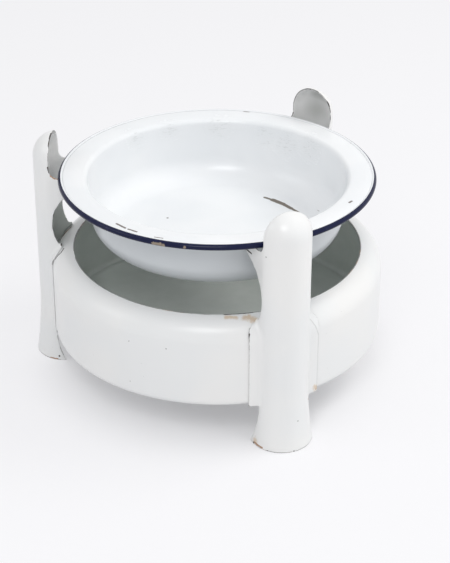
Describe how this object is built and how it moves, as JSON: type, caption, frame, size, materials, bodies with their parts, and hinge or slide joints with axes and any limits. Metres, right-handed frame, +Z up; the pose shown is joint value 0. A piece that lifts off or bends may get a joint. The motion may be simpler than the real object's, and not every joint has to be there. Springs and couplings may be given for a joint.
{
  "type": "wash basin stand",
  "caption": "Enamelled wash basin with a rolled navy rim, lifting out of a low stand of domed trough legs welded round a drum-shaped pan.",
  "frame": {"origin": "on the stand's axis at the floor", "axes": "+Z up along the stand's axis; -Y towards the front leg; +X to the right seen from the front"},
  "size_m": [0.382, 0.4026, 0.2776],
  "materials": {
    "stand_enamel": "glossy white vitreous enamel, chipped to rust at the edges",
    "pan_grey_enamel": "glossy grey ground-coat enamel",
    "basin_enamel": "glossy blue-white vitreous enamel, scuffed inside",
    "rim_enamel": "glossy navy vitreous enamel, chipped",
    "rim_steel": "bare drawn wire, inside the rolled rim"
  },
  "bodies": {
    "stand": {"pan_shell": "stand_enamel", "pan_floor": "pan_grey_enamel", "leg_front": "stand_enamel", "leg_right": "stand_enamel", "leg_left": "stand_enamel"},
    "basin": {"basin_bowl": "basin_enamel", "basin_rim": "rim_enamel", "rim_wire": "rim_steel"}
  },
  "joints": [
    {"name": "basin_lift", "type": "slide", "parent": "stand", "child": "basin", "axis": [0, 0, 1], "range_m": [0, 0.16]}
  ]
}
